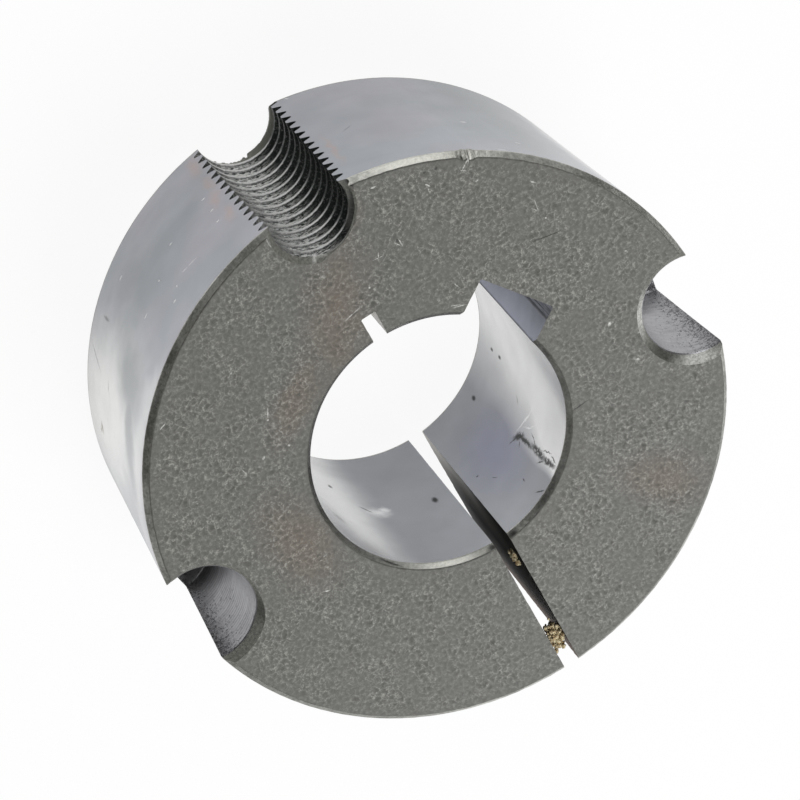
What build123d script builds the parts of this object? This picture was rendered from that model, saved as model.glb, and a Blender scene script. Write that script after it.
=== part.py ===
"""Taper bush for a 25 mm keyed shaft: one piece of cast iron, turned, drilled, broached and slit.

Frame: millimetres, Z along the bore, origin at the middle of the small end face. The bush stands
on its small end, with the large end up. The slit is at -Y and the jacking hole at +Y.
"""
from build123d import *
import os

INCH = 25.4

# Tapered body
LENGTH = 1.0 * INCH
LARGE_RADIUS = 2.25 * INCH / 2      # at the sharp corner of the large end
TAPER_ANGLE = 4.0                   # degrees on each side, 8 included
LARGE_RIM_CHAMFER = 0.6
SMALL_RIM_CHAMFER = 0.8

# Bore for a 25 mm shaft
BORE_RADIUS = 25.0 / 2
BORE_CHAMFER = 0.5

# Keyway for an 8 mm wide key, turned 35 degrees up from +X
KEYWAY_WIDTH = 8.0
KEYWAY_ROOF = BORE_RADIUS + 3.3     # from the bore axis to the flat roof
KEYWAY_ANGLE = 35.0
KEYWAY_CORNER_RADIUS = 0.2          # where the broach's corners leave the roof

# Saw cuts: the slit goes right through one wall, the relief slot part of the way into the other
SLIT_WIDTH = 1.6
SLIT_ANGLE = -90.0
SLIT_OFFSET = 0.3                   # the saw ran this far to the +X side of the bore axis
RELIEF_WIDTH = 1.5
RELIEF_REACH = 15.4                 # from the bore axis to the bottom of the relief slot
RELIEF_ANGLE = 90.0

# Half holes, with their axes on one pitch circle in the tapered side
HOLE_CIRCLE_RADIUS = 2.125 * INCH / 2
JACKING_ANGLE = 90.0
JACKING_DRILL_RADIUS = 5 / 16 * INCH / 2    # tapping drill of a 3/8 inch Whitworth screw
JACKING_MOUTH_CHAMFER = 0.3
JACKING_EXIT_CHAMFER = 0.1
FIXING_ANGLES = (-5.2, 184.8)
FIXING_RADIUS = 5.0                 # clears a 3/8 inch screw
FIXING_DEPTH = 15.2                 # to the shoulder, from the large end
FIXING_POINT_ANGLE = 140.0          # included angle of the drill point
FIXING_CORNER_RADIUS = 0.35         # where the drill's worn corner leaves the shoulder
FIXING_CHAMFER = 0.85

OVERSHOOT = 2.0                     # how far a cutter runs past the face it opens


def taper_radius(height):
    """Radius of the tapered side at a height above the small end."""
    slope = tan_degrees(TAPER_ANGLE)
    return LARGE_RADIUS - (LENGTH - height) * slope


def tan_degrees(angle):
    """Tangent of an angle in degrees, as the slope of a unit vector."""
    direction = Vector(1, 0, 0).rotate(Axis.Z, angle)
    return direction.Y / direction.X


def turned_ring():
    """The turned blank: a tapered ring, bored and chamfered at both ends."""
    section = Polyline(
        (BORE_RADIUS + BORE_CHAMFER, 0),
        (taper_radius(SMALL_RIM_CHAMFER) - SMALL_RIM_CHAMFER, 0),
        (taper_radius(SMALL_RIM_CHAMFER), SMALL_RIM_CHAMFER),
        (taper_radius(LENGTH - LARGE_RIM_CHAMFER), LENGTH - LARGE_RIM_CHAMFER),
        (taper_radius(LENGTH) - LARGE_RIM_CHAMFER, LENGTH),
        (BORE_RADIUS + BORE_CHAMFER, LENGTH),
        (BORE_RADIUS, LENGTH - BORE_CHAMFER),
        (BORE_RADIUS, BORE_CHAMFER),
        close=True,
    )
    return revolve(Plane.XZ * make_face(section), Axis.Z)


def radial_cutter(width, reach, angle, offset=0.0, corner_radius=0.0):
    """A slab as long as the bush, reaching out from the bore at one angle, offset to one side."""
    slab = Box(reach, width, LENGTH + 2 * OVERSHOOT, align=(Align.MIN, Align.CENTER, Align.MIN))
    if corner_radius:
        far_corners = slab.edges().filter_by(Axis.Z).group_by(Axis.X)[-1]
        slab = fillet(far_corners, corner_radius)
    return Rot(0, 0, angle) * Pos(0, offset, -OVERSHOOT) * slab


def hole_position(angle):
    """Where the axis of a half hole stands on the pitch circle."""
    return Rot(0, 0, angle) * Pos(HOLE_CIRCLE_RADIUS, 0, 0)


def mouth_chamfer(radius, chamfer):
    """Countersink that breaks the edge of a hole at the large end."""
    tall = chamfer + OVERSHOOT
    cone = Cone(radius, radius + tall, tall, align=(Align.CENTER, Align.CENTER, Align.MIN))
    return Pos(0, 0, LENGTH - chamfer) * cone


def exit_chamfer(radius, chamfer):
    """Countersink that breaks the edge of a through hole at the small end."""
    tall = chamfer + OVERSHOOT
    cone = Cone(radius + tall, radius, tall, align=(Align.CENTER, Align.CENTER, Align.MAX))
    return Pos(0, 0, chamfer) * cone


def jacking_cutter():
    """Through hole that carries the jacking screw's thread."""
    drill = Cylinder(
        JACKING_DRILL_RADIUS,
        LENGTH + 2 * OVERSHOOT,
        align=(Align.CENTER, Align.CENTER, Align.MIN),
    )
    cutter = Pos(0, 0, -OVERSHOOT) * drill
    cutter += mouth_chamfer(JACKING_DRILL_RADIUS, JACKING_MOUTH_CHAMFER)
    cutter += exit_chamfer(JACKING_DRILL_RADIUS, JACKING_EXIT_CHAMFER)
    return hole_position(JACKING_ANGLE) * cutter


def fixing_cutter(angle):
    """Blind plain hole for a fixing screw: its floor is the shoulder that the screw pushes on."""
    point_height = FIXING_RADIUS / tan_degrees(FIXING_POINT_ANGLE / 2)
    shoulder = LENGTH - FIXING_DEPTH
    top = LENGTH + OVERSHOOT
    section = Polyline(
        (0, shoulder - point_height),
        (FIXING_RADIUS, shoulder),
        (FIXING_RADIUS, top),
        (0, top),
        close=True,
    )
    profile = make_face(section)
    shoulder_corner = profile.vertices().sort_by(Axis.Y)[1]
    profile = fillet(shoulder_corner, FIXING_CORNER_RADIUS)
    cutter = revolve(Plane.XZ * profile, Axis.Z)
    cutter += mouth_chamfer(FIXING_RADIUS, FIXING_CHAMFER)
    return hole_position(angle) * cutter


def taper_bush():
    """The finished bush as one solid."""
    bush = turned_ring()
    bush -= radial_cutter(KEYWAY_WIDTH, KEYWAY_ROOF, KEYWAY_ANGLE, corner_radius=KEYWAY_CORNER_RADIUS)
    bush -= jacking_cutter()
    for angle in FIXING_ANGLES:
        bush -= fixing_cutter(angle)
    bush -= radial_cutter(RELIEF_WIDTH, RELIEF_REACH, RELIEF_ANGLE)
    bush -= radial_cutter(SLIT_WIDTH, LARGE_RADIUS + OVERSHOOT, SLIT_ANGLE, SLIT_OFFSET)
    return bush


os.makedirs("parts", exist_ok=True)
bush = taper_bush()
bush.label = "taper_bush"
export_step(bush, "parts/taper_bush.step")
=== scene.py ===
"""Looks of a taper bush: one iron ring with a tapered side, a keyed bore, two saw cuts and three half holes.

The frame is the CAD part's: Z along the bore, the small end at zero, the large end up, the jacking hole at
+Y and the slit at -Y. Lengths in this file are millimetres unless a name says otherwise, and write_mesh()
turns them into metres.
"""

import logging
import math
from dataclasses import dataclass
from enum import Enum, IntEnum

import bpy
import numpy as np
from bpy.types import Material, Node, NodeSocket, NodeTree, Object
from mathutils import Matrix, Vector


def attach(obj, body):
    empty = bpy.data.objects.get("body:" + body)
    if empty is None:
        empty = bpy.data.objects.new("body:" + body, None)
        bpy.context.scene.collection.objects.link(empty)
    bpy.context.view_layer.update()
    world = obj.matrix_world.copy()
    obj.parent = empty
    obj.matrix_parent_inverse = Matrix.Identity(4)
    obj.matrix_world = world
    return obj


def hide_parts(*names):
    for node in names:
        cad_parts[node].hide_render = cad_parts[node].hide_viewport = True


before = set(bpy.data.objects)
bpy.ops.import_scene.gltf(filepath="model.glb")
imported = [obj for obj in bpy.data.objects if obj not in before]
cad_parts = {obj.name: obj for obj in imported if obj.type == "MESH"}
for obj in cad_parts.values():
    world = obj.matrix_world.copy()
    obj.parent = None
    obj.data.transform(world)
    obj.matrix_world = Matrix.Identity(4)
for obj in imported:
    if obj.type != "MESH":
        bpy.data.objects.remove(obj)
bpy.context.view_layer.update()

LOG = logging.getLogger("taper_bush")
METRES = 0.001              # one millimetre
INCH = 25.4
NODE = "taper_bush"
OVERSHOOT = 2.0             # how far a cutter runs past the surface that it opens
FULL_TURN = 2 * math.pi


class Zone(IntEnum):
    """Surfaces of the bush that were made in different ways, in the order of its material slots."""

    LARGE_END = 0
    TAPER = 1
    RIM = 2
    BORE = 3
    BORE_CHAMFER = 4
    KEYWAY = 5
    SAW_CUT = 6
    THREAD = 7
    DRILLED = 8
    COUNTERSINK = 9
    SMALL_END = 10


# ---------------------------------------------------------------------------------------------------------
# Meshes
# ---------------------------------------------------------------------------------------------------------


def write_mesh(name: str, points: np.ndarray, faces: list, zones: np.ndarray) -> Object:
    """Makes a mesh object at the origin, with outward normals.

    Args:
        name: name of the object and its mesh.
        points: one row of X, Y, Z in millimetres for each vertex.
        faces: lists of vertex numbers.
        zones: the material slot of each face.

    Returns:
        The object, linked to the scene.
    """
    mesh = bpy.data.meshes.new(name)
    mesh.from_pydata(points * METRES, [], faces)
    mesh.polygons.foreach_set("material_index", np.asarray(zones, np.int32))
    mesh.update()
    obj = bpy.data.objects.new(name, mesh)
    bpy.context.scene.collection.objects.link(obj)
    return obj


def tube_faces(rows: int, columns: int, closed: bool) -> np.ndarray:
    """Quads between the rings of a tube: ring i's point j is vertex i * columns + j, and each ring is closed.

    Args:
        rows: number of rings.
        columns: number of points in each ring.
        closed: True if the last ring joins the first one.

    Returns:
        An array of quads, ring by ring.
    """
    index = np.arange(rows * columns).reshape(rows, columns)
    lower = index if closed else index[:-1]
    upper = np.roll(index, -1, 0) if closed else index[1:]
    quads = np.stack([lower, np.roll(lower, -1, 1), np.roll(upper, -1, 1), upper], -1)
    return quads.reshape(-1, 4)


def tube(name: str, rings: np.ndarray, zones: np.ndarray, closed: bool = False) -> Object:
    """A tube through rings of points; an open one gets a flat cap at each end.

    Args:
        name: name of the object.
        rings: array of rings, each an array of points.
        zones: material slot of each band between two rings.
        closed: True if the last ring joins the first one.

    Returns:
        The tube's object.
    """
    rows, columns = rings.shape[:2]
    faces = tube_faces(rows, columns, closed).tolist()
    slots = np.repeat(zones, columns)
    if not closed:
        faces.append(list(range(columns))[::-1])
        faces.append(list(range((rows - 1) * columns, rows * columns)))
        slots = np.append(slots, [zones[0], zones[-1]])
    return write_mesh(name, rings.reshape(-1, 3), faces, slots)


def rounded_path(
    corners: np.ndarray, radii: np.ndarray, closed: bool, steps: int = 3, least_support: float = 0.12,
) -> tuple:
    """A path of straight runs whose corners are arcs.

    The arc at a corner touches both runs at radius / tan(half the corner's angle) from it, and its points
    are the blend of its two ends that keeps them on the circle. Points are added on each run close to its
    arcs, so that smooth shading stays at the corner.

    Args:
        corners: rows of two coordinates.
        radii: radius at each corner, or zero for a sharp one.
        closed: True if the last corner joins the first one.
        steps: number of pieces of an arc.
        least_support: how near an arc's end the added point may lie.

    Returns:
        The path's points, and for each of them the number of the corner that it belongs to.
    """
    points, owners = [], []
    count = len(corners)
    for i, corner in enumerate(corners):
        if radii[i] <= 0 or (not closed and i in (0, count - 1)):
            points.append(corner)
            owners.append(i)
            continue
        before, after = corners[i - 1] - corner, corners[(i + 1) % count] - corner
        before, after = before / np.linalg.norm(before), after / np.linalg.norm(after)
        half = math.acos(np.clip(before @ after, -1, 1)) / 2
        reach = radii[i] / math.tan(half)
        bisector = (before + after) / np.linalg.norm(before + after)
        centre = corner + bisector * radii[i] / math.sin(half)
        start, end = corner + before * reach - centre, corner + after * reach - centre
        turn = math.pi - 2 * half
        share = np.linspace(0, 1, steps + 1)[:, None]
        arc = (np.sin((1 - share) * turn) * start + np.sin(share * turn) * end) / math.sin(turn)
        support = max(2 * reach, least_support)
        points += [corner + before * (reach + support), *(centre + arc), corner + after * (reach + support)]
        owners += [i] * (steps + 3)
    return np.array(points), np.array(owners)


def band_zones(owners: np.ndarray, arc_zones: list, run_zones: list, closed: bool) -> np.ndarray:
    """Material slot of each band between two points of a rounded path.

    Args:
        owners: number of the corner that each point belongs to.
        arc_zones: slot of each corner's arc.
        run_zones: slot of the run that leaves each corner.
        closed: True if the last point joins the first one.

    Returns:
        One slot for each band.
    """
    following = np.roll(owners, -1)
    zones = np.where(owners == following, np.array(arc_zones)[owners], np.array(run_zones)[owners])
    return zones if closed else zones[:-1]


def round_angles(columns: int) -> np.ndarray:
    """Evenly spaced angles in radians, once round a circle."""
    return np.linspace(0, FULL_TURN, columns, endpoint=False)


def revolve(path: np.ndarray, columns: int, centre: tuple = (0.0, 0.0)) -> np.ndarray:
    """Rings swept by a path of radius and height: x = radius cos(angle), y = radius sin(angle), z = height.

    Args:
        path: rows of radius and height.
        columns: number of points in each ring.
        centre: X and Y of the axis.

    Returns:
        The rings.
    """
    angle = round_angles(columns)
    radius, height = path[:, :1], path[:, 1:]
    return np.stack([
        centre[0] + radius * np.cos(angle),
        centre[1] + radius * np.sin(angle),
        height + 0 * angle,
    ], -1)


def ripple(angle: np.ndarray, waves: tuple, seed: int, sines: int = 24, level: float = 5.0) -> np.ndarray:
    """Uneven line round a circle: a sum of sines of whole wave numbers, with random phases and heights.

    Args:
        angle: angles in radians.
        waves: lowest and highest number of waves round the circle.
        seed: starts the random numbers.
        sines: how many sines are added up.
        level: what their sum is divided by, to bring it to about 1.

    Returns:
        Values of about -1 to 1 at the angles.
    """
    draw = np.random.default_rng(seed)
    count = draw.integers(waves[0], waves[1] + 1, sines)
    phase = draw.uniform(0, FULL_TURN, sines)
    height = draw.uniform(0.5, 1, sines)
    return (height * np.sin(angle[..., None] * count + phase)).sum(-1) / level


# ---------------------------------------------------------------------------------------------------------
# The bush's form
# ---------------------------------------------------------------------------------------------------------


@dataclass(frozen=True)
class TaperedSide:
    """The cone that seats in the hub: its radius at the large end, its length and its angle on each side."""

    large_radius: float = 2.25 * INCH / 2
    length: float = 1.0 * INCH
    angle_degrees: float = 4.0

    def radius(self, height: float) -> float:
        """Radius of the side at a height above the small end."""
        return self.large_radius - (self.length - height) * math.tan(math.radians(self.angle_degrees))


@dataclass(frozen=True)
class Bulge:
    """A stretch of a round edge that stands further out than the rest, or further in."""

    at_degrees: float
    half_width: float               # in degrees
    slope: float                    # degrees over which it rises and falls
    height: float

    def at(self, angle: np.ndarray) -> np.ndarray:
        """Its height at some angles in radians: the height within its width, ramped down at both ends."""
        apart = (np.degrees(angle) - self.at_degrees + 180) % 360 - 180
        return self.height * np.clip((self.half_width - np.abs(apart)) / self.slope, 0, 1)


@dataclass(frozen=True)
class TurnedBlank:
    """The turned ring, with its bore and with its four chamfers."""

    side: TaperedSide
    bore_radius: float = 12.5
    bore_chamfer: float = 0.5
    large_rim_chamfer: float = 0.6
    small_rim_chamfer: float = 0.8
    edge_radius: float = 0.07       # the sharp edges are broken by handling
    columns: int = 1440             # a quarter of a millimetre at the rim, fine enough for its nicks
    rim_wander: float = 0.02        # how unevenly the rim chamfer's edges run
    wander_waves: tuple = (20, 160)
    nick: Bulge = Bulge(57.7, 2.0, 1.0, 0.22)
    nick_waves: tuple = (200, 500)  # fine enough to tear the nick's edge
    nick_tear: float = 0.6          # how deep the tears are, as a share of the nick
    face_corner: int = 3            # numbers of the rim chamfer's corners in the profile
    side_corner: int = 4

    def build(self) -> Object:
        """The ring as a closed profile of radius and height, revolved round the bore axis.

        Returns:
            The blank's object.
        """
        bore, chamfer, top = self.bore_radius, self.bore_chamfer, self.side.length
        large, small = self.large_rim_chamfer, self.small_rim_chamfer
        corners = np.array([
            (bore, chamfer),
            (bore, top - chamfer),
            (bore + chamfer, top),
            (self.side.radius(top) - large, top),
            (self.side.radius(top - large), top - large),
            (self.side.radius(small), small),
            (self.side.radius(small) - small, 0),
            (bore + chamfer, 0),
        ])
        runs = [
            Zone.BORE, Zone.BORE_CHAMFER, Zone.LARGE_END, Zone.RIM,
            Zone.TAPER, Zone.RIM, Zone.SMALL_END, Zone.BORE_CHAMFER,
        ]
        arcs = [
            Zone.BORE_CHAMFER, Zone.BORE_CHAMFER, Zone.LARGE_END, Zone.LARGE_END,
            Zone.RIM, Zone.RIM, Zone.SMALL_END, Zone.SMALL_END,
        ]
        path, owners = rounded_path(corners, np.full(len(corners), self.edge_radius), closed=True)
        rings = revolve(path, self.columns)
        self.wear_rim(rings, owners)
        return tube("blank", rings, band_zones(owners, arcs, runs, closed=True), closed=True)

    def wear_rim(self, rings: np.ndarray, owners: np.ndarray) -> None:
        """Moves the rim's edges along the face and along the side, by an uneven line and more at the nick.

        Args:
            rings: the blank's points, which are changed.
            owners: number of the profile's corner that each ring belongs to.
        """
        angle = round_angles(self.columns)
        inner = (owners == self.face_corner).nonzero()[0]
        outer = (owners == self.side_corner).nonzero()[0]
        nick = self.nick.at(angle) * (1 + self.nick_tear * ripple(angle, self.nick_waves, 7))
        wander = self.rim_wander * ripple(angle, self.wander_waves, 3)
        rings[inner, :, :2] *= (1 - (wander + nick) / self.side.large_radius)[:, None]
        rings[outer, :, 2] += self.rim_wander * ripple(angle, self.wander_waves, 4) - nick


@dataclass(frozen=True)
class SawnOrBroachedSlot:
    """A slot that runs the whole length of the bore, at one angle from +X."""

    name: str
    zone: Zone
    width: float
    reach: float                    # from the bore axis to the slot's floor
    angle_degrees: float
    offset: float = 0.0             # how far the slot lies beside the bore axis
    corner_radius: float = 0.15     # where the floor meets the walls
    start: float = 3.0              # inside the bore, where there is nothing to cut
    row_spacing: float = 0.4
    wander: float = 0.015           # unevenness of the walls
    wander_waves: tuple = (3, 30)   # in the length of the bush

    def build(self, length: float) -> Object:
        """A cutter: the slot's outline carried up Z, each wall bowed in and out a little.

        Args:
            length: length of the bush.

        Returns:
            The cutter.
        """
        half = self.width / 2
        corners = np.array([
            (self.start, -half), (self.reach, -half), (self.reach, half), (self.start, half),
        ])
        outline, _ = rounded_path(corners, np.array([0, self.corner_radius, self.corner_radius, 0]), False)
        walls = np.linspace(0, 1, int((self.reach - self.start) / self.row_spacing))[1:-1, None]
        lower = outline[0] * (1 - walls) + outline[1] * walls
        upper = outline[-2] * (1 - walls) + outline[-1] * walls
        outline = np.vstack([outline[:1], lower, outline[1:-1], upper, outline[-1:]])
        rows = int((length + 2 * OVERSHOOT) / self.row_spacing)
        height = np.linspace(-OVERSHOOT, length + OVERSHOOT, rows)[:, None]
        along, across = outline[:, 0] + 0 * height, outline[:, 1] + 0 * height
        turn = FULL_TURN * (height + along) / length
        across = across + self.wander * ripple(turn, self.wander_waves, len(self.name)) * np.sign(across)
        across += self.offset
        angle = math.radians(self.angle_degrees)
        rings = np.stack([
            along * math.cos(angle) - across * math.sin(angle),
            along * math.sin(angle) + across * math.cos(angle),
            height + 0 * along,
        ], -1)
        return tube(self.name, rings, np.full(rows - 1, self.zone))


@dataclass(frozen=True)
class HalfHole:
    """A hole whose axis stands on the pitch circle in the tapered side, so that about half of it is cut."""

    angle_degrees: float
    pitch_radius: float = 2.125 * INCH / 2

    @property
    def centre(self) -> tuple:
        """X and Y of the hole's axis."""
        angle = math.radians(self.angle_degrees)
        return self.pitch_radius * math.cos(angle), self.pitch_radius * math.sin(angle)


@dataclass(frozen=True)
class FixingHole(HalfHole):
    """A plain blind half hole: its floor is the shoulder that a fixing screw pushes on."""

    radius: float = 5.0
    depth: float = 15.2
    point_degrees: float = 140.0
    mouth_chamfer: float = 0.85
    shallow: Bulge = Bulge(75.0, 45.0, 30.0, 0.0)   # where the countersink went less deep
    floor_radius: float = 0.35
    edge_radius: float = 0.08
    tip_radius: float = 0.02        # the drill's point is cut off here, so that no face is a sliver
    edge_corner: int = 2            # numbers of the countersink's corners in the profile
    outer_corner: int = 3
    columns: int = 192

    def build(self, length: float) -> Object:
        """A cutter: the drill's profile of radius and height, revolved round the hole's own axis.

        Args:
            length: length of the bush.

        Returns:
            The cutter.
        """
        floor = length - self.depth
        point = self.radius / math.tan(math.radians(self.point_degrees / 2))
        corners = np.array([
            (self.tip_radius, floor - point),
            (self.radius, floor),
            (self.radius, length - self.mouth_chamfer),
            (self.radius + self.mouth_chamfer + OVERSHOOT, length + OVERSHOOT),
        ])
        radii = np.array([0, self.floor_radius, self.edge_radius, 0])
        path, owners = rounded_path(corners, radii, closed=False, steps=4)
        arcs = [Zone.DRILLED] * 3 + [Zone.COUNTERSINK]
        runs = [Zone.DRILLED] * 2 + [Zone.COUNTERSINK] * 2
        angle = round_angles(self.columns)
        loss = self.shallow.at(angle)
        rings = revolve(path, self.columns, self.centre)
        rings[owners == self.edge_corner, :, 2] += loss
        rings[owners == self.outer_corner, :, :2] -= (loss * [np.cos(angle), np.sin(angle)]).T
        return tube("fixing_hole", rings, band_zones(owners, arcs, runs, False))


@dataclass(frozen=True)
class JackingThread(HalfHole):
    """The through half hole of the jacking screw: a right-handed Whitworth thread, 16 turns to the inch."""

    major_radius: float = 3 / 8 * INCH / 2
    crest_radius: float = 5 / 16 * INCH / 2     # left flat by the tapping drill
    pitch: float = INCH / 16
    flank_degrees: float = 27.5                 # half of the form's angle
    root_share: float = 0.137329                # rounding of the root, as a share of the pitch
    arc_middle: float = 0.55                    # where the root's arc has its middle point
    crest_round: float = 0.05
    first_groove: float = -0.155                # height of a groove on the hole's outward side
    columns: int = 160

    def groove(self) -> np.ndarray:
        """One turn's profile as height from the groove's middle and radius.

        A straight flank falls from the apex at 1 / tan(flank) and is cut off by an arc at the root, whose
        centre lies inside the major radius by the root's rounding, and by the drilled crest.

        Returns:
            Rows of height and radius, over one pitch.
        """
        slope = 1 / math.tan(math.radians(self.flank_degrees))
        rounding = self.root_share * self.pitch
        apex = self.major_radius - rounding + rounding / math.sin(math.radians(self.flank_degrees))
        tangent = rounding * math.cos(math.radians(self.flank_degrees))
        crest = (apex - self.crest_radius) / slope
        offsets = np.array([
            0, self.arc_middle * tangent, tangent, crest - self.crest_round, crest + self.crest_round,
        ])
        radii = apex - offsets * slope
        arc = self.major_radius - rounding + np.sqrt(np.maximum(rounding**2 - offsets**2, 0))
        radii[:2] = arc[:2]
        radii[-1] = self.crest_radius
        half = np.column_stack([offsets, radii])
        land = [(self.pitch / 2, self.crest_radius)]
        mirrored = half[1:][::-1] * (-1, 1) + (self.pitch, 0)
        return np.vstack([half, land, mirrored])

    def build(self, length: float) -> Object:
        """A threaded plug: the groove's profile carried up a helix.

        A point's height is first_groove + pitch * angle / 360 degrees + its height in the profile + whole
        pitches. The rows follow the helix, so the last column meets the first one a whole turn further on.

        Args:
            length: length of the bush.

        Returns:
            The plug.
        """
        profile = self.groove()
        turn = len(profile)
        below = int(2.5 * OVERSHOOT / self.pitch)
        turns = below + int((length + 2 * OVERSHOOT) / self.pitch) + 1
        rise = self.pitch * (np.arange(turns)[:, None] - below) + profile[:, 0]
        height = rise.reshape(-1, 1) + self.first_groove
        radius = np.tile(profile[:, 1], turns)[:, None]
        angle = round_angles(self.columns)
        heading = math.radians(self.angle_degrees)
        points = np.stack([
            self.centre[0] + radius * np.cos(angle + heading),
            self.centre[1] + radius * np.sin(angle + heading),
            height + self.pitch * angle / FULL_TURN,
        ], -1)
        rows = len(points)
        index = np.arange(rows * self.columns).reshape(rows, self.columns)
        inner = np.stack([index[:-1, :-1], index[:-1, 1:], index[1:, 1:], index[1:, :-1]], -1)
        seam = np.stack([
            index[:-turn - 1, -1], index[turn:-1, 0], index[turn + 1:, 0], index[1:-turn, -1],
        ], -1)
        bottom = np.concatenate([index[0], index[turn:0:-1, 0]])
        top = np.concatenate([index[-1], index[-2:-turn - 2:-1, -1]])
        tips = np.array([
            (*self.centre, points[0, :, 2].mean()), (*self.centre, points[-1, :, 2].mean()),
        ])
        low_tip, high_tip = rows * self.columns, rows * self.columns + 1
        low = np.column_stack([np.roll(bottom, -1), bottom, np.full(len(bottom), low_tip)])
        high = np.column_stack([top, np.roll(top, -1), np.full(len(top), high_tip)])
        faces = inner.reshape(-1, 4).tolist() + seam.tolist() + low.tolist() + high.tolist()
        every_point = np.vstack([points.reshape(-1, 3), tips])
        return write_mesh("jacking_thread", every_point, faces, np.full(len(faces), Zone.THREAD))


@dataclass(frozen=True)
class JackingMouths(HalfHole):
    """Breaks the jacking hole's edges at both ends: unevenly at the mouth, and with burrs at the exit."""

    mouth_radius: float = 4.06
    mouth_bulges: tuple = (Bulge(12.0, 60.0, 50.0, 0.5), Bulge(-152.0, 62.0, 15.0, 0.42))
    exit_radius: float = 3.95
    exit_bulges: tuple = (
        Bulge(-116.0, 26.0, 3.0, 0.46), Bulge(-66.0, 4.0, 2.0, 0.1), Bulge(-98.0, 3.0, 1.0, -0.16),
        Bulge(-126.0, 4.0, 1.0, -0.12), Bulge(-136.0, 3.0, 1.0, -0.2),
    )
    mouth_rag: float = 0.045
    mouth_waves: tuple = (10, 70)
    exit_rag: float = 0.09
    exit_waves: tuple = (20, 140)
    waist: float = 3.0                  # narrower than the thread's crests
    columns: int = 720

    def build(self, length: float) -> Object:
        """A cutter like a cotton reel: wide at both ends and narrow in the bush.

        At each end the edge's radius is a plain radius, its bulges and an uneven line added up, and the wall
        leans inwards from it at 45 degrees.

        Args:
            length: length of the bush.

        Returns:
            The cutter.
        """
        angle = round_angles(self.columns)
        mouth = self.mouth_radius + sum(bulge.at(angle) for bulge in self.mouth_bulges)
        mouth = mouth + self.mouth_rag * ripple(angle, self.mouth_waves, 5)
        way_out = self.exit_radius + sum(bulge.at(angle) for bulge in self.exit_bulges)
        way_out = way_out + self.exit_rag * ripple(angle, self.exit_waves, 6)
        level = 0 * angle
        radii = [way_out + OVERSHOOT, self.waist + level, self.waist + level, mouth + OVERSHOOT]
        heights = [
            level - OVERSHOOT, way_out - self.waist, length - mouth + self.waist, level + length + OVERSHOOT,
        ]
        rings = np.stack([
            np.stack([self.centre[0] + r * np.cos(angle), self.centre[1] + r * np.sin(angle), z], -1)
            for r, z in zip(radii, heights)
        ])
        return tube("jacking_mouths", rings, np.array([Zone.THREAD, Zone.THREAD, Zone.COUNTERSINK]))


@dataclass(frozen=True)
class DirtClump:
    """Crumbs of dried dirt that are stuck in the slit."""

    name: str
    centre: tuple
    spread: tuple                       # half size of the clump along X, Y and Z
    crumbs: int
    crumb_size: tuple                   # smallest and largest radius of a crumb
    seed: int
    lumpiness: float = 0.35             # how much a crumb's radius varies, as a share of it
    cap: float = 0.25                   # angle in radians from a crumb's pole to its first ring
    rows: int = 7
    columns: int = 10

    def build(self, material: Material) -> Object:
        """Crumbs that overlap: each is a sphere whose radius varies by direction, at a random place.

        A crumb's point lies from its centre at radius (1 + lumpiness times a random number) along the
        direction (sin t cos a, sin t sin a, cos t), and flat caps close its two poles.

        Args:
            material: the dirt's material.

        Returns:
            The finished piece.
        """
        draw = np.random.default_rng(self.seed)
        tilt = np.linspace(self.cap, math.pi - self.cap, self.rows)[:, None]
        turn = round_angles(self.columns)
        ball = np.stack([
            np.sin(tilt) * np.cos(turn), np.sin(tilt) * np.sin(turn), np.cos(tilt) + 0 * turn,
        ], -1)
        place = np.array(self.centre) + draw.normal(0, 0.5, (self.crumbs, 3)) * self.spread
        size = draw.uniform(*self.crumb_size, (self.crumbs, 1, 1, 1))
        bumps = 1 + self.lumpiness * draw.uniform(-1, 1, (self.crumbs, self.rows, self.columns, 1))
        points = place[:, None, None, :] + size * bumps * ball[::-1]
        side = tube_faces(self.rows, self.columns, False)
        count = self.rows * self.columns
        low, high = list(range(self.columns))[::-1], list(range(count - self.columns, count))
        faces = []
        for first in range(0, self.crumbs * count, count):
            faces += (side + first).tolist()
            faces += [[v + first for v in low], [v + first for v in high]]
        piece = write_mesh(self.name, points.reshape(-1, 3), faces, np.zeros(len(faces)))
        piece.data.polygons.foreach_set("use_smooth", np.ones(len(faces), bool))
        piece.data.materials.append(material)
        return piece


DIRT = (
    DirtClump("dirt_in_slit_middle", (1.0, -17.2, 21.4), (0.24, 0.9, 0.8), 34, (0.14, 0.3), seed=11),
    DirtClump("dirt_in_slit_end", (0.35, -25.45, 24.0), (0.78, 1.1, 0.7), 420, (0.08, 0.24), seed=12),
)


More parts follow.
